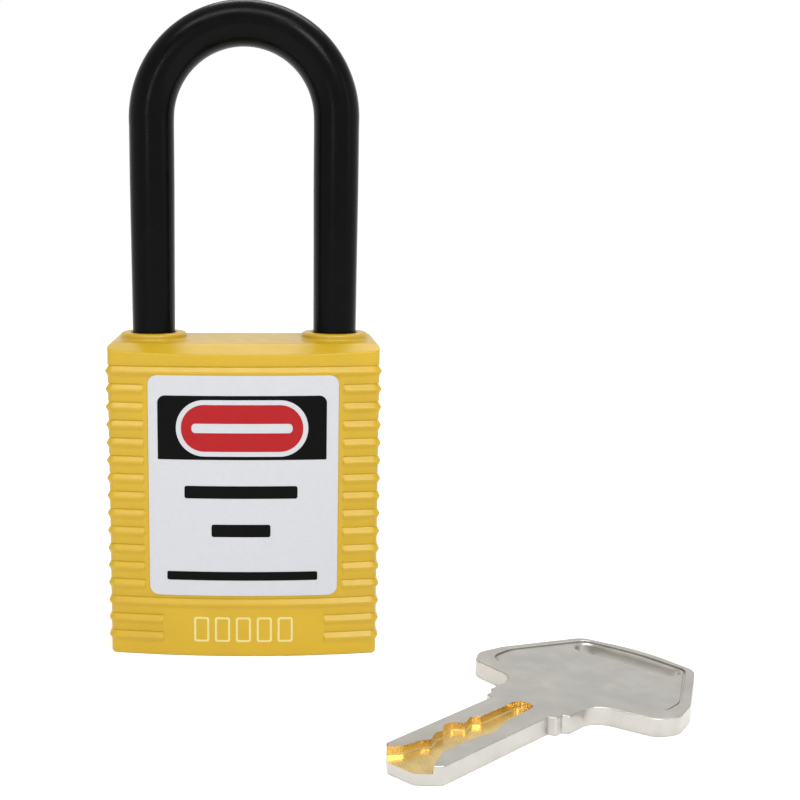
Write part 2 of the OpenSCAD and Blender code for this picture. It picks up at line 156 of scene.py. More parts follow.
class Graph:
    """A short way to write a node material."""

    def __init__(self, name):
        self.material = bpy.data.materials.new(name)
        self.material.use_nodes = True
        self.tree = self.material.node_tree
        self.shader = self.tree.nodes["Principled BSDF"]
        self.coords = self.tree.nodes.new("ShaderNodeTexCoord").outputs["Object"]

    def set(self, **values):
        """Sets the shader's own sockets; an underscore in a name stands for a space."""
        for name, value in values.items():
            self.shader.inputs[name.replace("_", " ")].default_value = value

    def node(self, kind, inputs=None, **settings):
        made = self.tree.nodes.new(kind)
        for name, value in settings.items():
            setattr(made, name, value)
        for name, value in (inputs or {}).items():
            socket = made.inputs[name]
            if isinstance(value, bpy.types.NodeSocket):
                self.tree.links.new(value, socket)
            else:
                socket.default_value = value
        return made

    def stretched(self, scale, turn=0.0):
        """Object coordinates, turned about Z and scaled along each axis."""
        turned = self.node("ShaderNodeMapping", {"Vector": self.coords, "Rotation": (0, 0, turn)})
        return self.node("ShaderNodeMapping", {"Vector": turned.outputs[0], "Scale": scale}).outputs[0]

    def noise(self, size_mm, detail=3.0, rough=0.5, distort=0.0, vector=None):
        """Noise whose largest features are about size_mm across."""
        made = self.node(
            "ShaderNodeTexNoise",
            {
                "Vector": vector or self.coords,
                "Scale": 1 / (size_mm * MM),
                "Detail": detail,
                "Roughness": rough,
                "Distortion": distort,
            },
        )
        return made.outputs["Fac"]

    def remap(self, value, low, high, to_low, to_high):
        made = self.node(
            "ShaderNodeMapRange",
            {"Value": value, "From Min": low, "From Max": high, "To Min": to_low, "To Max": to_high},
        )
        return made.outputs["Result"]

    def math(self, operation, a, b):
        return self.node("ShaderNodeMath", {0: a, 1: b}, operation=operation).outputs[0]

    def mix(self, factor, a, b):
        made = self.node("ShaderNodeMix", data_type="RGBA")
        for index, value in ((0, factor), (6, a), (7, b)):
            if isinstance(value, bpy.types.NodeSocket):
                self.tree.links.new(value, made.inputs[index])
            else:
                made.inputs[index].default_value = value
        return made.outputs[2]

    def bump(self, height, depth_mm, under=None, strength=1.0):
        inputs = {"Height": height, "Distance": depth_mm * MM, "Strength": strength}
        if under:
            inputs["Normal"] = under
        return self.node("ShaderNodeBump", inputs).outputs["Normal"]

    def feed(self, name, socket):
        self.tree.links.new(socket, self.shader.inputs[name])


def tint(color, factor):
    """A colour made lighter or darker, with alpha 1."""
    return tuple(min(1.0, c * factor) for c in color[:3]) + (1.0,)


def moulded_plastic(name, color, rough, spread=0.05, grain_mm=0.16, grain_depth=0.006, specular=0.5):
    """Injection-moulded plastic: fine eroded grain, faint flow clouds and uneven gloss."""
    g = Graph(name)
    g.set(Specular_IOR_Level=specular)
    clouds = g.noise(9, 3, 0.55)
    specks = g.noise(0.35, 2, 0.6)
    blend = g.math("ADD", g.math("MULTIPLY", clouds, 0.7), g.math("MULTIPLY", specks, 0.3))
    shade = g.remap(blend, 0.3, 0.7, 0.0, 1.0)
    g.feed("Base Color", g.mix(shade, tint(color, 1 - spread), tint(color, 1 + spread)))
    g.feed("Roughness", g.remap(g.noise(1.7, 4, 0.6), 0.3, 0.7, rough - 0.05, rough + 0.06))
    waves = g.bump(g.noise(6, 1, 0.4), 0.03)
    g.feed("Normal", g.bump(g.noise(grain_mm, 2, 0.5), grain_depth, under=waves))
    return g.material


def printed_film(name, color, rough=0.42, spread=0.02, specular=0.4):
    """Laminated vinyl or a printed ink layer, with faint dust and roller marks."""
    g = Graph(name)
    g.set(Specular_IOR_Level=specular)
    dust = g.noise(0.5, 4, 0.65)
    shade = g.remap(dust, 0.35, 0.65, 0, 1)
    g.feed("Base Color", g.mix(shade, tint(color, 1 - spread), tint(color, 1 + spread)))
    rolled = g.noise(1.0, 2, 0.5, vector=g.stretched((0.15, 1, 1.6)))
    g.feed("Roughness", g.remap(rolled, 0.3, 0.7, rough - 0.05, rough + 0.07))
    g.feed("Normal", g.bump(g.noise(0.12, 2, 0.5), 0.0015))
    return g.material


def machined_metal(
    name, color, rough=0.3, line_mm=0.12, turn=0.0, stretch=(0.06, 1, 1), depth=0.003, spread=0.08
):
    """Metal with fine parallel tool lines, stains and small scratches."""
    g = Graph(name)
    g.set(Metallic=1.0)
    lines = g.noise(line_mm, 3, 0.6, vector=g.stretched(stretch, turn))
    stains = g.noise(3.0, 4, 0.6)
    shade = g.remap(stains, 0.32, 0.68, 0, 1)
    g.feed("Base Color", g.mix(shade, tint(color, 1 - spread), tint(color, 1 + spread)))
    uneven = g.math("ADD", g.math("MULTIPLY", lines, 0.5), g.math("MULTIPLY", stains, 0.5))
    g.feed("Roughness", g.remap(uneven, 0.3, 0.7, rough - 0.07, rough + 0.09))
    scratches = g.bump(g.noise(0.9, 5, 0.75, 1.5), 0.004)
    g.feed("Normal", g.bump(lines, depth, under=scratches))
    return g.material


YELLOW = (0.415, 0.262, 0.003)
BLACK_NYLON = (0.0012, 0.0013, 0.0014)
FILM_WHITE = (0.405, 0.412, 0.432)
INK_BLACK = (0.0012, 0.0014, 0.0013)
INK_RED = (0.285, 0.003, 0.005)
INK_CREAM = (0.52, 0.445, 0.17)
STEEL = (0.56, 0.57, 0.59)
WIRE = (0.42, 0.43, 0.45)
BRASS = (0.66, 0.47, 0.17)
NICKEL = (0.46, 0.445, 0.41)
CUT_BRASS = (0.74, 0.55, 0.22)

BODY_PLASTIC = moulded_plastic("yellow_nylon", YELLOW, 0.34, specular=0.42)
COVER_PLASTIC = moulded_plastic("yellow_nylon_cover", tint(YELLOW, 0.97), 0.46)
SHACKLE_NYLON = moulded_plastic(
    "black_nylon", BLACK_NYLON, 0.25, spread=0.2, grain_mm=0.25, grain_depth=0.004, specular=0.07
)
LABEL_FILM = printed_film("label_film", FILM_WHITE)
LABEL_BLACK = printed_film("label_black", INK_BLACK, rough=0.4, spread=0.2, specular=0.06)
LABEL_RED = printed_film("label_red", INK_RED, rough=0.4, spread=0.05, specular=0.2)
BODY_PRINT = printed_film("body_print", INK_CREAM, rough=0.5, spread=0.04)
STEEL_METAL = machined_metal("zinc_plated_steel", STEEL, rough=0.32)
WIRE_METAL = machined_metal("spring_wire", WIRE, rough=0.3)
BRASS_METAL = machined_metal("machined_brass", BRASS, rough=0.3, line_mm=0.1, stretch=(1, 1, 0.08))
NICKEL_METAL = machined_metal(
    "tumbled_nickel", NICKEL, rough=0.36, line_mm=0.16, turn=-KEY_YAW,
    stretch=(0.12, 1, 1), depth=0.002, spread=0.06,
)
TRACK_METAL = machined_metal(
    "milled_brass", CUT_BRASS, rough=0.26, line_mm=0.1, turn=-KEY_YAW,
    stretch=(1, 0.5, 1), depth=0.006, spread=0.12,
)


# ---------------------------------------------------------------- mesh helpers


def new_object(name, points, faces, materials, body, smooth=35):
    """A mesh object from millimetre points. It rides on a body and is smooth below an angle."""
    mesh = bpy.data.meshes.new(name)
    mesh.from_pydata([Vector(p) * MM for p in points], [], faces)
    obj = bpy.data.objects.new(name, mesh)
    for material in materials:
        mesh.materials.append(material)
    bpy.context.scene.collection.objects.link(obj)
    finish_mesh(obj, smooth)
    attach(obj, body)
    return obj


def finish_mesh(obj, smooth=35):
    """Merges doubles, turns the faces outwards and marks the sharp edges."""
    bm = bmesh.new()
    bm.from_mesh(obj.data)
    bmesh.ops.remove_doubles(bm, verts=bm.verts, dist=1e-7)
    bmesh.ops.recalc_face_normals(bm, faces=bm.faces)
    bm.to_mesh(obj.data)
    bm.free()
    obj.data.shade_smooth()
    obj.data.set_sharp_from_angle(angle=math.radians(smooth))


def weigh_normals(obj):
    """Keeps large flat faces flat beside small rounded edges."""
    modifier = obj.modifiers.new("flat_faces", "WEIGHTED_NORMAL")
    modifier.keep_sharp = True


def cut_away(obj, cutter):
    """Subtracts a cutter mesh for good; new faces take the cutter's material."""
    modifier = obj.modifiers.new("cut", "BOOLEAN")
    modifier.operation = "DIFFERENCE"
    modifier.solver = "EXACT"
    modifier.material_mode = "TRANSFER"
    modifier.object = cutter
    depsgraph = bpy.context.evaluated_depsgraph_get()
    result = bpy.data.meshes.new_from_object(obj.evaluated_get(depsgraph))
    obj.modifiers.clear()
    obj.data = result
    bpy.data.objects.remove(cutter)


def loose_mesh(name, points, faces, material):
    """A helper object for cutting; it is removed again after the cut."""
    mesh = bpy.data.meshes.new(name)
    mesh.from_pydata([Vector(p) * MM for p in points], [], faces)
    mesh.materials.append(material)
    obj = bpy.data.objects.new(name, mesh)
    bpy.context.scene.collection.objects.link(obj)
    finish_mesh(obj)
    return obj


class Shape:
    """Points and faces gathered ring by ring."""

    def __init__(self):
        self.points = []
        self.faces = []

    def loop(self, points):
        start = len(self.points)
        self.points += [tuple(p) for p in points]
        return list(range(start, start + len(points)))

    def bridge(self, a, b):
        """Quads between two closed loops of equal length."""
        n = len(a)
        for i in range(n):
            j = (i + 1) % n
            self.faces.append((a[i], a[j], b[j], b[i]))

    def cap(self, loop):
        """One flat face over a loop."""
        self.faces.append(tuple(loop))

    def fill(self, outer, holes):
        """Triangulates a flat, level region bounded by an outer loop and holes."""
        ids = list(outer)
        edges = [(i, (i + 1) % len(outer)) for i in range(len(outer))]
        for hole in holes:
            first = len(ids)
            ids += hole
            edges += [(first + i, first + (i + 1) % len(hole)) for i in range(len(hole))]
        flat = [Vector(self.points[i][:2]) for i in ids]
        found = delaunay_2d_cdt(flat, edges, [], 0, 1e-6)
        for tri in found[2]:
            middle = sum((found[0][k] for k in tri), Vector((0, 0))) / 3
            if not point_in(middle, [self.points[i] for i in outer]):
                continue
            if any(point_in(middle, [self.points[i] for i in h]) for h in holes):
                continue
            self.faces.append(tuple(ids[found[3][k][0]] for k in tri))

    def lathe(self, centre, profile, start):
        """Spins a profile [(r, z)] about a vertical line, from an existing loop."""
        previous = start
        n = len(start)
        for r, z in profile:
            ring = self.loop(circle(centre, r, z, n))
            self.bridge(previous, ring)
            previous = ring
        return previous


def point_in(p, polygon):
    """Whether a point lies inside a closed outline."""
    inside = False
    n = len(polygon)
    for i in range(n):
        a = polygon[i]
        b = polygon[(i + 1) % n]
        if (a[1] > p[1]) != (b[1] > p[1]):
            if p[0] < (b[0] - a[0]) * (p[1] - a[1]) / (b[1] - a[1]) + a[0]:
                inside = not inside
    return inside


def circle(centre, r, z, n):
    """A level ring of n points."""
    return [
        (centre[0] + r * math.cos(2 * math.pi * i / n), centre[1] + r * math.sin(2 * math.pi * i / n), z)
        for i in range(n)
    ]


def arc(centre, r, start, end, steps):
    """Points (r, z) of an arc, angles in degrees, both ends included."""
    return [
        (
            centre[0] + r * math.cos(math.radians(start + (end - start) * i / steps)),
            centre[1] + r * math.sin(math.radians(start + (end - start) * i / steps)),
        )
        for i in range(steps + 1)
    ]


def smooth_min(a, b, k):
    """The smaller of two numbers, rounded where they cross."""
    h = max(k - abs(a - b), 0) / k
    return min(a, b) - h * h * k / 4


def ease(t):
    """A smooth step from 0 to 1."""
    t = min(max(t, 0.0), 1.0)
    return t * t * (3 - 2 * t)


def rounded(corners, steps=10):
    """A closed outline from corners (x, y, radius)."""
    out = []
    n = len(corners)
    for i in range(n):
        p = Vector(corners[i][:2])
        r = corners[i][2]
        if r <= 0:
            out.append(tuple(p))
            continue
        u = (Vector(corners[i - 1][:2]) - p).normalized()
        v = (Vector(corners[(i + 1) % n][:2]) - p).normalized()
        half = u.angle(v) / 2
        centre = p + (u + v).normalized() * (r / math.sin(half))
        a = p + u * (r / math.tan(half)) - centre
        b = p + v * (r / math.tan(half)) - centre
        start = math.atan2(a.y, a.x)
        sweep = (math.atan2(b.y, b.x) - start + 3 * math.pi) % (2 * math.pi) - math.pi
        for k in range(steps + 1):
            angle = start + sweep * k / steps
            out.append((centre.x + r * math.cos(angle), centre.y + r * math.sin(angle)))
    return out


def inset(outline, amount):
    """Moves a counter-clockwise outline inwards along its corner normals."""
    out = []
    n = len(outline)
    for i in range(n):
        a = Vector(outline[i - 1])
        p = Vector(outline[i])
        b = Vector(outline[(i + 1) % n])
        d1 = (p - a).normalized()
        d2 = (b - p).normalized()
        n1 = Vector((-d1.y, d1.x))
        n2 = Vector((-d2.y, d2.x))
        m = (n1 + n2).normalized()
        out.append(tuple(p + m * (amount / max(m.dot(n1), 0.4))))
    return out


# ---------------------------------------------------------------- body shell

# Half-widths where the front's samples crowd together, with the spacing up to each
FRONT_STOPS = ((10.1, 0.6), (11.1, 0.08), (12.5, 0.35), (13.5, 0.08), (16.9, 0.34))
SIDE_STEPS = 9
CORNER_STEPS = 7


def front_stations():
    xs = [0.0]
    for stop, step in FRONT_STOPS:
        start = xs[-1]
        count = max(1, round((stop - start) / step))
        xs += [start + (stop - start) * (i + 1) / count for i in range(count)]
    return xs


def plan_outline(back):
    """The body's outline between its ribs, moved in by back: points (x, y, nx, ny), anticlockwise."""
    half_w = HALF_W - back
    half_d = HALF_D - back
    r = max(CORNER_R - back * 0.3, 0.3)
    far = FACE_R - half_d
    centre = Vector((half_w - r, far - math.sqrt((FACE_R - r) ** 2 - (half_w - r) ** 2)))
    tilt = math.atan2(centre.x, far - centre.y)  # direction from the arc's centre to the corner
    reach = FACE_R * math.sin(tilt)
    xs = [x * reach / FRONT_STOPS[-1][0] if back > 0.5 else min(x, reach) for x in front_stations()]
    xs[-1] = reach
    front_right = []
    for x in xs[1:]:
        angle = math.asin(x / FACE_R)
        front_right.append((x, far - FACE_R * math.cos(angle), math.sin(angle), -math.cos(angle)))
    for i in range(1, CORNER_STEPS + 1):
        angle = tilt - math.pi / 2 + (math.pi / 2 - tilt) * i / CORNER_STEPS
        front_right.append((
            centre.x + r * math.cos(angle), centre.y + r * math.sin(angle), math.cos(angle), math.sin(angle)
        ))
    low = centre.y
    for i in range(1, SIDE_STEPS):
        front_right.append((half_w, low * (1 - i / SIDE_STEPS), 1.0, 0.0))
    middle_right = [(half_w, 0.0, 1.0, 0.0)]
    back_right = [(x, -y, nx, -ny) for x, y, nx, ny in reversed(front_right)]
    front_left = [(-x, y, -nx, ny) for x, y, nx, ny in reversed(front_right)]
    back_left = [(-x, y, -nx, ny) for x, y, nx, ny in reversed(back_right)]
    front_middle = [(0.0, -half_d, 0.0, -1.0)]
    back_middle = [(0.0, half_d, 0.0, 1.0)]
    middle_left = [(-half_w, 0.0, -1.0, 0.0)]
    right = front_right + middle_right + back_right
    left = back_left + middle_left + front_left
    return front_middle + right + back_middle + left


RIB_DROP = 0.45  # from the top of a CAD rib down to the bottom of the groove above the visual one
RIB_GROOVE = 0.18  # height of the upper half of the fine groove above each rib
RIB_END = 0.3  # length over which a rib runs out beside the panel
# A rib from its groove down: (distance under the groove's bottom, rise)
RIB_PROFILE = (
    (-RIB_GROOVE, 0), (-0.12, -0.03), (-0.06, -0.1), (0, -0.13), (0.06, -0.1), (0.2, 0),
    (0.4, 0.14), (0.56, 0.25), (0.62, 0.285), (0.68, RIB_OUT), (0.76, 0.295), (0.86, 0.26),
    (1, 0.18), (1.15, 0.09), (1.3, 0.03), (1.45, 0),
)


def rib_levels():
    """Heights to sample so that each rib's profile is followed."""
    tops = [BODY_H - RIB_DROP - RIB_PITCH * (k + 1) for k in range(RIB_COUNT)]
    return [top - d for top in tops for d, _ in RIB_PROFILE]


def rib_rise(x, y, z):
    """How far the ribs lift the surface at a point of the outline."""
    below = BODY_H - RIB_DROP - RIB_PITCH + RIB_GROOVE - z
    k = math.floor(below / RIB_PITCH + 1e-6)
    if k < 0 or k >= RIB_COUNT:
        return 0.0
    d = below - k * RIB_PITCH - RIB_GROOVE
    rise = 0.0
    for (d1, r1), (d2, r2) in zip(RIB_PROFILE, RIB_PROFILE[1:]):
        if d1 <= d <= d2:
            rise = r1 + (r2 - r1) * (d - d1) / (d2 - d1)
    on_face = abs(y) > FACE_FROM_Y
    if k not in FULL_RIBS and on_face:
        end = PANEL_HALF if k < FOOT_RIB else FOOT_PANEL_HALF
        rise *= ease((abs(x) - end) / RIB_END)
    return rise


def shell_level(outline, z):
    """The outline at one height, with ribs, the sloped top edge and rounded rims."""
    slope_y = HALF_D - (z - (BODY_H - SLOPE_DROP)) * SLOPE_RUN / SLOPE_DROP
    points = []
    for x, y, nx, ny in outline:
        bow = SLOPE_BOW * x * x / (2 * FACE_R)
        rise = rib_rise(x, y, z)
        if z < FOOT_R:
            rise -= FOOT_R - math.sqrt(FOOT_R ** 2 - (FOOT_R - z) ** 2)
        px = x + nx * rise
        py = y + ny * rise
        side_back = 0.0
        slope_back = 0.0
        if z > BODY_H - TOP_R:
            side_back = TOP_R - math.sqrt(max(0.0, TOP_R ** 2 - (z - BODY_H + TOP_R) ** 2))
        if z > BODY_H - SLOPE_R:
            slope_back = SLOPE_R - math.sqrt(max(0.0, SLOPE_R ** 2 - (z - BODY_H + SLOPE_R) ** 2))
        px -= math.copysign(min(side_back * abs(nx), abs(px)), px)
        limit = slope_y - slope_back - bow
        if limit < abs(py) + SLOPE_NEAR:
            py = math.copysign(smooth_min(abs(py), limit, SLOPE_BLEND), py)
        points.append((px, py, z))
    return points


# Distances below the body's top where the slopes and their rounding are sampled
CROWN_FROM = 1.55
CROWN_STEP = 0.045
CROWN_COUNT = 35
CROWN_TO = 0.12
CROWN_EDGE = (0.1, 0.08, 0.06, 0.04, 0.02, 0.006, 0)


def body_levels():
    """All heights at which the body's outline is sampled, from the foot up."""
    foot = [FOOT_R * (1 - math.cos(math.radians(a))) for a in (0, 15, 30, 45, 60, 75, 90)]
    crown = [BODY_H - CROWN_FROM + CROWN_STEP * i for i in range(CROWN_COUNT)]
    crown = [z for z in crown if z < BODY_H - CROWN_TO]
    crown += [BODY_H - d for d in CROWN_EDGE]
    levels = foot + [0.8, 1.4] + rib_levels() + [BODY_H - 2.0, BODY_H - 1.6] + crown
    return sorted(set(round(z, 4) for z in levels if z >= 0))


def make_body_shell():
    shape = Shape()
    outline = plan_outline(0.0)
    loops = [shape.loop(shell_level(outline, z)) for z in body_levels()]
    for low, high in zip(loops, loops[1:]):
        shape.bridge(low, high)

    # Top face with a raised boss and a bore for each leg
    mouths = {}
    holes = []
    for side in (-1, 1):
        mouth = shape.loop(circle((side * LEG_X, 0), BOSS_R + BOSS_FILLET, BODY_H, ROUND_SIDES))
        mouths[side] = mouth
        holes.append(mouth)
    shape.fill(loops[-1], holes)
    boss_top = BODY_H + BOSS_H - BOSS_LOWER
    profile = arc((BOSS_R + BOSS_FILLET, BODY_H + BOSS_FILLET), BOSS_FILLET, 270, 180, 5)[1:]
    profile += arc((BOSS_R - BOSS_EDGE_R, boss_top - BOSS_EDGE_R), BOSS_EDGE_R, 0, 90, 7)
    profile += [(BORE_R + MOUTH_FLAT, boss_top)]
    profile += arc((BORE_R + MOUTH_R, boss_top - MOUTH_R), MOUTH_R, 90, 180, 5)
    toe_bore = profile + [(BORE_R, TOE_Z - 0.6)]
    shape.cap(shape.lathe((LEG_X, 0), toe_bore, mouths[1]))
    chamber_top = RING_HIGH.z + LIFT + 0.3
    chamber_r = RING_HIGH.y + 0.04
    heel_bore = profile + [(BORE_R, chamber_top), (chamber_r, chamber_top), (chamber_r, COVER_HIGH.z)]
    heel_end = shape.lathe((-LEG_X, 0), heel_bore, mouths[-1])

    # Foot: rim, recess for the cover, and the cavities above it
    recess = plan_outline(RIM_WALL)
    rim = shape.loop([(x, y, 0.0) for x, y, nx, ny in recess])
    shape.bridge(rim, loops[0])
    ceiling = shape.loop([(x, y, COVER_HIGH.z) for x, y, nx, ny in recess])
    shape.bridge(ceiling, rim)
    cavity_r = HOUSING_HIGH.x + 0.05
    cavity = shape.loop(circle((0, 0), cavity_r, COVER_HIGH.z, ROUND_SIDES))
    shape.cap(shape.lathe((0, 0), [(cavity_r, GUIDE_HIGH.z + 0.05)], cavity))
    screw_holes = []
    for x in (-SCREW_AT[0], SCREW_AT[0]):
        for y in (-SCREW_AT[1], SCREW_AT[1]):
            hole = shape.loop(circle((x, y), SCREW_R, COVER_HIGH.z, SCREW_SIDES))
            shape.cap(shape.lathe((x, y), [(SCREW_R, SCREW_TOP)], hole))
            screw_holes.append(hole)
    shape.fill(ceiling, [cavity, heel_end] + screw_holes)

    shell = new_object("body", shape.points, shape.faces, [BODY_PLASTIC], "case", smooth=40)
    passage_low = (-LEG_X, -PASSAGE_HALF, BOLT_LOW.z - PASSAGE_GAP)
    passage_high = (LEG_X, PASSAGE_HALF, BOLT_HIGH.z + PASSAGE_GAP)
    passage = cuboid(passage_low, passage_high)
    cut_away(shell, loose_mesh("passage", *passage, BODY_PLASTIC))
    weigh_normals(shell)
    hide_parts("body_shell")
    return shell


def cuboid(low, high):
    """Points and faces of a box, for cutting."""
    xs, ys, zs = zip(low, high)
    points = [(x, y, z) for z in zs for y in ys for x in xs]
    faces = [(0, 1, 3, 2), (4, 5, 7, 6), (0, 1, 5, 4), (2, 3, 7, 6), (0, 2, 6, 4), (1, 3, 7, 5)]
    return points, faces


# ---------------------------------------------------------------- shackle

ROD_SIDES = 72
NOTCH_DEPTH = 1.0
NOTCH_RAMP = 3.5
NOTCH_STEPS = 14
SEAM_RISE = 0.035  # the mould's parting line along the plane of the U
SEAM_SPREAD = 0.09  # how far round the rod the line runs out, as a sine
LEG_R = ROD_R - 0.02  # inside the body
RING_GROOVE_R = 2.4
ARCH_STEPS = 72
SLIM = 0.13  # how much smaller the rod's radius is near the body
SLIM_Z = 43
SLIM_RUN = 27


def rod_radius(z):
    """The rod is a touch slimmer near the body than round the arch."""
    return ROD_R - SLIM * (1 - ease((z - SLIM_Z) / SLIM_RUN))


def rod_ring(centre, outward, r, clip=None):
    """One ring of the rod; clip holds the points of a leg off its notch."""
    ring = []
    for i in range(ROD_SIDES):
        angle = 2 * math.pi * i / ROD_SIDES
        seam = SEAM_RISE * max(0.0, 1 - abs(math.sin(angle)) / SEAM_SPREAD)
        reach = (r + seam) * math.cos(angle)
        if clip is not None:
            reach = max(reach, clip)
        point = centre + outward * reach + Vector((0, 1, 0)) * r * math.sin(angle)
        ring.append(tuple(point))
    return ring


def leg_rings(low):
    """Rings of one leg from its end up to the arch: (z, radius, notch clip)."""
    nose = 0.6
    floor = -(ROD_R - NOTCH_DEPTH)  # in the leg's own outward direction
    top = BOLT_HIGH.z + 0.15
    base = BOLT_LOW.z - 0.1
    rings = [(low + nose * (1 - math.cos(a)), ROD_R - 0.08 - nose * (1 - math.sin(a)), None)
             for a in (math.radians(d) for d in (0, 20, 40, 60, 75, 90))]
    z = low + nose
    while z < base - NOTCH_RAMP - 0.5:
        z += 0.8
        rings.append((z, LEG_R, None))
    for i in range(NOTCH_STEPS + 1):
        t = i / NOTCH_STEPS
        rings.append((base - NOTCH_RAMP * (1 - t), LEG_R, -ROD_R + NOTCH_DEPTH * t))
    rings += [(base + 0.3, LEG_R, floor), (top, LEG_R, floor), (top, LEG_R, None)]
    z = top
    while z < ARCH_Z - 1.0:
        z = min(z + 1.0, ARCH_Z - 0.8)
        rings.append((z, min(rod_radius(z), LEG_R), None))
    return rings


def make_shackle():
    shape = Shape()
    loops = []
    groove_low = RING_LOW.z
    groove_high = RING_HIGH.z + 0.05
    heel = []
    for z, r, clip in leg_rings(HEEL_Z):
        if groove_low - 0.02 < z < groove_high + 0.02:
            continue
        heel.append((z, r, clip))
    groove = [(groove_low, LEG_R, None), (groove_low, RING_GROOVE_R, None),
              (groove_high, RING_GROOVE_R, None), (groove_high, LEG_R, None)]
    heel = [h for h in heel if h[0] < groove_low] + groove + [h for h in heel if h[0] > groove_high]
    for z, r, clip in heel:
        loops.append(shape.loop(rod_ring(Vector((-LEG_X, 0, z)), Vector((-1, 0, 0)), r, clip)))
    for i in range(ARCH_STEPS + 1):
        angle = math.pi - math.pi * i / ARCH_STEPS
        outward = Vector((math.cos(angle), 0, math.sin(angle)))
        centre = Vector((0, 0, ARCH_Z)) + outward * LEG_X
        loops.append(shape.loop(rod_ring(centre, outward, rod_radius(centre.z))))
    for z, r, clip in reversed(leg_rings(TOE_Z)):
        loops.append(shape.loop(rod_ring(Vector((LEG_X, 0, z)), Vector((1, 0, 0)), r, clip)))
    for a, b in zip(loops, loops[1:]):
        shape.bridge(a, b)
    shape.cap(loops[0])
    shape.cap(loops[-1])
    rod = new_object("shackle_rod", shape.points, shape.faces, [SHACKLE_NYLON], "shackle")
    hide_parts("shackle")
    return rod


# ---------------------------------------------------------------- labels and print


def wrapped(x, z, out, back):
    """A flat label point laid on the bowed face: out is its height above the plastic."""
    far = FACE_R - HALF_D
    angle = x / FACE_R
    r = FACE_R + out
    y = far - r * math.cos(angle)
    px = r * math.sin(angle)
    return (-px, -y, z) if back else (px, y, z)


def sliced(outline, step=0.8):
    """A convex outline cut into narrow upright strips: its points, faces and rim edges."""
    bm = bmesh.new()
    bm.faces.new([bm.verts.new((x, z, 0)) for x, z in outline])
    low = min(p[0] for p in outline)
    high = max(p[0] for p in outline)
    x = low + step
    while x < high - 0.05:
        everything = bm.verts[:] + bm.edges[:] + bm.faces[:]
        bmesh.ops.bisect_plane(bm, geom=everything, plane_co=(x, 0, 0), plane_no=(1, 0, 0))
        x += step
    bm.verts.index_update()
    points = [(v.co.x, v.co.y) for v in bm.verts]
    faces = [[v.index for v in f.verts] for f in bm.faces]
    rim = [(e.verts[0].index, e.verts[1].index) for e in bm.edges if len(e.link_faces) == 1]
    bm.free()
    return points, faces, rim


def make_film(name, outline, low, high, material, back=False):
    """A thin closed plate with a convex outline, from low to high above the plastic."""
    flat, faces, rim = sliced(outline)
    n = len(flat)
    points = [wrapped(x, z, high, back) for x, z in flat]
    points += [wrapped(x, z, low, back) for x, z in flat]
    all_faces = [tuple(f) for f in faces]
    all_faces += [tuple(n + i for i in reversed(f)) for f in faces]
    all_faces += [(a, b, n + b, n + a) for a, b in rim]
    return new_object(name, points, all_faces, [material], "case")


def make_frame_print(name, outer, inner, low, high, material):
    """A thin closed ring between two outlines of equal length."""
    shape = Shape()
    rings = []
    for outline, out in ((outer, low), (outer, high), (inner, high), (inner, low)):
        rings.append(shape.loop([wrapped(x, z, out, False) for x, z in outline]))
    for a, b in zip(rings, rings[1:] + rings[:1]):
        shape.bridge(a, b)
    return new_object(name, shape.points, shape.faces, [material], "case")


def panel(cx, cz, half_w, half_h, r_low, r_high=None, steps=8):
    """A rounded rectangle about (cx, cz)."""
    r_high = r_low if r_high is None else r_high
    return rounded([
        (cx - half_w, cz - half_h, r_low), (cx + half_w, cz - half_h, r_low),
        (cx + half_w, cz + half_h, r_high), (cx - half_w, cz + half_h, r_high),
    ], steps)


FILM_T = 0.15  # thickness of the label
INK_T = 0.014  # thickness of one printed layer
RING_MID_Z = 31.15


def make_label(prefix, node, back):
    half_w = (LABEL_HIGH.x - LABEL_LOW.x) / 2
    mid_z = (LABEL_HIGH.z + LABEL_LOW.z) / 2
    half_h = (LABEL_HIGH.z - LABEL_LOW.z) / 2
    base = make_film(prefix, panel(0, mid_z, half_w, half_h, 1.2), 0.01, FILM_T, LABEL_FILM, back)
    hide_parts(node)
    layers = [
        ("header", panel(-0.15, 31.2, 11.1, 4.25, 0.15, 1.0), LABEL_BLACK),
        ("ring", panel(-0.15, RING_MID_Z, 8.66, 3.74, 3.7, steps=16), LABEL_FILM),
        ("lozenge", panel(-0.15, RING_MID_Z, 8.0, 3.1, 3.05, steps=16), LABEL_RED),
        ("lozenge_bar", panel(-0.15, RING_MID_Z, 6.6, 0.62, 0.5), LABEL_FILM),
        ("bar_top", panel(-0.3, 22.6, 7.45, 0.85, 0.3), LABEL_BLACK),
        ("bar_middle", panel(-0.3, 17.4, 3.9, 0.85, 0.3), LABEL_BLACK),
        ("bar_low", panel(-0.15, 11.2, 10.0, 0.6, 0.25), LABEL_BLACK),
    ]
    level = {"header": 1, "ring": 2, "lozenge": 3, "lozenge_bar": 4}
    for name, outline, material in layers:
        step = level.get(name, 1)
        low = FILM_T + INK_T * (step - 1) - 0.002
        make_film(f"{prefix}_{name}", outline, low, low + INK_T, material, back)


def make_number_boxes():
    """Five blank upright boxes printed on the plain band under the label."""
    for i in range(5):
        cx = (i - 2) * 2.8
        outer = panel(cx, 3.75, 1.02, 1.72, 0.35)
        inner = panel(cx, 3.75, 0.74, 1.44, 0.12)
        make_frame_print(f"number_box_{i + 1}", outer, inner, 0.002, 0.02, BODY_PRINT)


# ---------------------------------------------------------------- key

BLADE_HALF = 4.0
BLADE_L = 21.0
BOW_L = 27.0
BOW_HALF = 14.0
NECK_HALF = 5.6
EDGE_R = 0.16

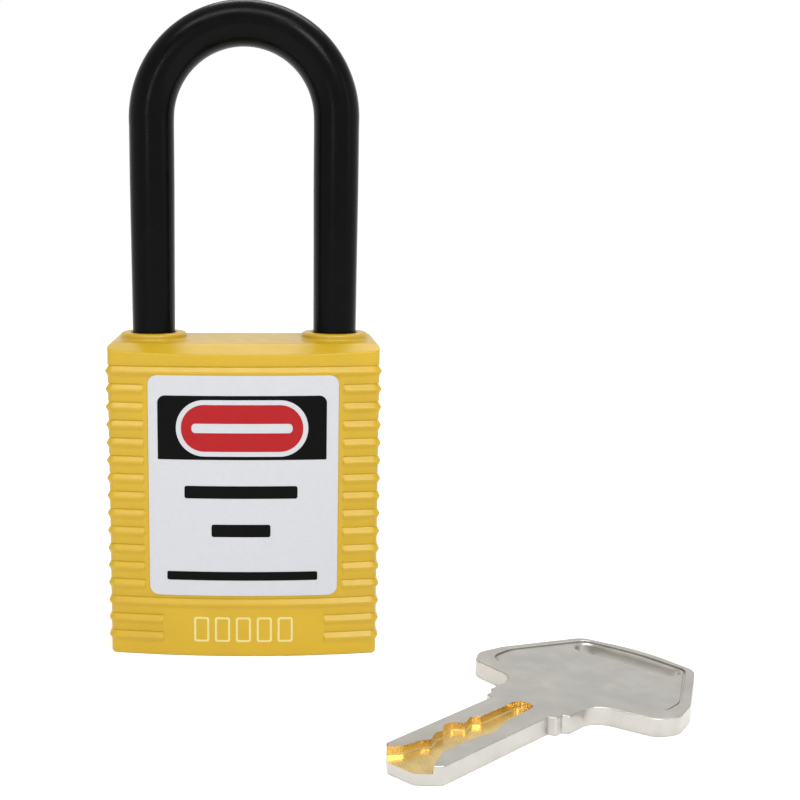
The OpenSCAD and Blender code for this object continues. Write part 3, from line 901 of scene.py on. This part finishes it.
KEY_SIDE = [
    (-BLADE_L, BLADE_HALF - 2.2, 0.25), (-BLADE_L + 2.2, BLADE_HALF, 0.4), (0, BLADE_HALF, 0),
    (0.3, BLADE_HALF + 0.9, 0.3), (1.6, BLADE_HALF + 0.9, 0.3), (2, NECK_HALF, 0.3), (7, NECK_HALF, 2.8),
    (8.4, BOW_HALF - 1.2, 2), (11, BOW_HALF + 0.3, 2.6), (15, BOW_HALF - 0.6, 6), (BOW_L - 1.2, 8.2, 2.2),
]
KEY_OUTLINE = KEY_SIDE + [(BOW_L + 0.3, 0, 20)] + [(u, -v, r) for u, v, r in reversed(KEY_SIDE)]
BOW_PANEL = [
    (10.3, 12.3, 2.2), (15.2, 12.2, 5), (25.2, 7.3, 1.6), (26.0, 0, 18), (25.2, -7.3, 1.6), (15.2, -12.2, 5),
    (10.3, -12.3, 2.2),
]
KEY_TRACK = [
    (-BLADE_L - 1, -4.6, 0), (-19.2, -3, 1.5), (-16, -1.6, 2), (-11.5, -1.7, 2), (-7.8, -2.3, 2),
    (-4.7, -1.5, 2), (1.6, -1.2, 1.15), (1.6, 1.2, 1.15), (-5.6, 1.2, 0.4), (-6.6, 1.95, 0.5),
    (-8.3, 1.25, 0.5), (-9.4, 2.5, 0.5), (-10.6, 2.6, 0.5), (-11.8, 1.7, 0.5), (-13, 1.85, 0.6),
    (-14.6, 1.1, 0.6), (-15.8, 1.75, 0.6), (-18, 2.1, 1), (-BLADE_L - 1, 4.6, 0),
]
TRACK_DEPTH = 0.9
PANEL_DEPTH = 0.16
PANEL_DRAFT = 0.12
SLOT_U = 23.2
SLOT_HALF = 5.7
SLOT_R = 1.55
SLOT_CORNER_R = SLOT_R * 0.999  # a full half round, less a hair so that its points stay apart
SLOT_LIP = 0.2


def place_key(points):
    """Key coordinates (u, v, height) to the frame, in millimetres."""
    cos_a = math.cos(KEY_YAW)
    sin_a = math.sin(KEY_YAW)
    return [(KEY_AT.x + u * cos_a - v * sin_a, KEY_AT.y + u * sin_a + v * cos_a, w) for u, v, w in points]


def anticlockwise(outline):
    area = sum(a[0] * b[1] - b[0] * a[1] for a, b in zip(outline, outline[1:] + outline[:1]))
    return outline if area > 0 else outline[::-1]


def stacked(outline, profile):
    """A closed solid whose outline is moved in by each profile step (inset, height)."""
    outline = anticlockwise(outline)
    shape = Shape()
    loops = []
    for amount, height in profile:
        moved = inset(outline, amount) if amount else outline
        loops.append(shape.loop([(u, v, height) for u, v in moved]))
    for a, b in zip(loops, loops[1:]):
        shape.bridge(a, b)
    shape.cap(loops[0])
    shape.cap(loops[-1])
    return shape


def key_cutter(name, outline, profile, material):
    shape = stacked(outline, profile)
    return loose_mesh(name, place_key(shape.points), shape.faces, material)


def panel_groove():
    """A fine groove round the bow's panel."""
    shape = Shape()
    outline = anticlockwise(rounded(BOW_PANEL, 12))
    loops = []
    for amount, height in ((0, KEY_T + 0.3), (0.06, KEY_T - 0.3), (0.3, KEY_T - 0.3), (0.42, KEY_T + 0.3)):
        moved = inset(outline, amount) if amount else outline
        loops.append(shape.loop([(u, v, height) for u, v in moved]))
    for a, b in zip(loops, loops[1:] + loops[:1]):
        shape.bridge(a, b)
    return loose_mesh("panel_groove", place_key(shape.points), shape.faces, NICKEL_METAL)


def make_key():
    edge = arc((0, 0), EDGE_R, 0, 90, 4)
    low = [(EDGE_R - a[0], EDGE_R - a[1]) for a in reversed(edge)]
    high = [(EDGE_R - a[0], KEY_T - EDGE_R + a[1]) for a in edge]
    shape = stacked(rounded(KEY_OUTLINE, 14), low + high)
    key = new_object("key_blank", place_key(shape.points), shape.faces, [NICKEL_METAL], "key")
    panel_cut = [(PANEL_DRAFT, KEY_T - PANEL_DEPTH), (0, KEY_T), (-0.1, KEY_T + 0.5)]
    cut_away(key, key_cutter("bow_panel", rounded(BOW_PANEL, 12), panel_cut, NICKEL_METAL))
    cut_away(key, panel_groove())
    slot = rounded([
        (SLOT_U - SLOT_R, -SLOT_HALF - SLOT_R, SLOT_CORNER_R),
        (SLOT_U + SLOT_R, -SLOT_HALF - SLOT_R, SLOT_CORNER_R),
        (SLOT_U + SLOT_R, SLOT_HALF + SLOT_R, SLOT_CORNER_R),
        (SLOT_U - SLOT_R, SLOT_HALF + SLOT_R, SLOT_CORNER_R),
    ], 14)
    slot_cut = [
        (-0.5, -0.3), (-SLOT_LIP, 0), (0, SLOT_LIP),
        (0, KEY_T - PANEL_DEPTH - SLOT_LIP), (-SLOT_LIP, KEY_T - PANEL_DEPTH), (-0.5, KEY_T + 0.1),
    ]
    cut_away(key, key_cutter("ring_slot", slot, slot_cut, NICKEL_METAL))
    track_cut = [
        (0.18, KEY_T - TRACK_DEPTH), (0, KEY_T - TRACK_DEPTH + 0.12), (-0.05, KEY_T), (-0.1, KEY_T + 0.5),
    ]
    cut_away(key, key_cutter("track", rounded(KEY_TRACK, 8), track_cut, TRACK_METAL))
    finish_mesh(key, 30)
    weigh_normals(key)
    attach(key, "key")
    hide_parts("key")
    return key


# ---------------------------------------------------------------- build

make_body_shell()
make_shackle()
make_label("label_front", "front_label", False)
make_label("label_back", "back_label", True)
make_number_boxes()
make_key()

CAD_FINISH = {
    "bottom_cover": COVER_PLASTIC,
    "cover_screws": STEEL_METAL,
    "shackle_ring": WIRE_METAL,
    "shackle_spring": WIRE_METAL,
    "bolt_left": STEEL_METAL,
    "bolt_right": STEEL_METAL,
    "drive_pin_left": STEEL_METAL,
    "drive_pin_right": STEEL_METAL,
    "bolt_guide": STEEL_METAL,
    "guide_plate": BRASS_METAL,
    "guide_screws": STEEL_METAL,
    "scroll_cam": BRASS_METAL,
    "cylinder_housing": BRASS_METAL,
    "plug": BRASS_METAL,
    "plug_clip": WIRE_METAL,
    "wafer_springs": WIRE_METAL,
    "sidebar": BRASS_METAL,
    "sidebar_springs": WIRE_METAL,
}
for index in range(1, 7):
    CAD_FINISH[f"wafer_{index}"] = BRASS_METAL

for node, material in CAD_FINISH.items():
    mesh = frame["nodes"][node].data
    mesh.materials.clear()
    mesh.materials.append(material)


# ---------------------------------------------------------------- stage and light


FLOOR_HALF = 0.55  # metres; the white studio carries on past its edge
FLOOR_Z = -0.05 * MM  # just under the padlock's base


def make_floor():
    bm = bmesh.new()
    bmesh.ops.create_grid(bm, x_segments=2, y_segments=2, size=FLOOR_HALF)
    mesh = bpy.data.meshes.new("floor")
    bm.to_mesh(mesh)
    bm.free()
    floor = bpy.data.objects.new("floor", mesh)
    bpy.context.scene.collection.objects.link(floor)
    floor.location.z = FLOOR_Z
    g = Graph("floor_paper")
    g.set(Roughness=0.9, Specular_IOR_Level=0.1, Emission_Color=(1, 1, 1, 1), Emission_Strength=0.18)
    g.feed("Base Color", g.mix(g.noise(40, 2, 0.5), (0.93, 0.93, 0.93, 1), (0.95, 0.95, 0.95, 1)))
    mesh.materials.append(g.material)


def make_light(name, at, towards, size, power):
    data = bpy.data.lights.new(name, "AREA")
    data.shape = "RECTANGLE"
    data.size, data.size_y = size
    data.energy = power
    light = bpy.data.objects.new(name, data)
    light.location = Vector(at)
    direction = Vector(towards) - Vector(at)
    light.rotation_euler = direction.to_track_quat("-Z", "Y").to_euler()
    bpy.context.scene.collection.objects.link(light)


def make_world():
    """White round the horizon and a little darker overhead, where the softboxes give the light."""
    world = bpy.data.worlds.new("studio")
    world.use_nodes = True
    tree = world.node_tree
    coords = tree.nodes.new("ShaderNodeTexCoord")
    split = tree.nodes.new("ShaderNodeSeparateXYZ")
    fade = tree.nodes.new("ShaderNodeMapRange")
    fade.interpolation_type = "SMOOTHSTEP"
    for name, value in (("From Min", 0.2), ("From Max", 0.55), ("To Min", 1.0), ("To Max", 0.7)):
        fade.inputs[name].default_value = value
    tree.links.new(coords.outputs["Generated"], split.inputs[0])
    tree.links.new(split.outputs["Z"], fade.inputs["Value"])
    tree.links.new(fade.outputs["Result"], tree.nodes["Background"].inputs["Strength"])
    tree.nodes["Background"].inputs["Color"].default_value = (1, 1, 1, 1)
    bpy.context.scene.world = world


make_floor()
MIDDLE = (0, 0, 0.045)
ARCH = (0, 0, 0.085)
make_light("top_softbox", (-0.03, -0.23, 0.44), MIDDLE, (0.44, 0.11), 1.35)
make_light("back_softbox", (0.08, 0.28, 0.46), (0, 0, 0.05), (0.40, 0.12), 0.75)
make_light("front_right_lamp", (0.21, -0.38, 0.35), ARCH, (0.09, 0.12), 0.85)
make_light("front_left_strip", (-0.17, -0.47, 0.16), ARCH, (0.02, 0.12), 0.20)
make_light("right_strip", (0.42, -0.20, 0.20), MIDDLE, (0.04, 0.26), 0.10)
make_world()
bpy.context.scene.view_settings.view_transform = "Standard"
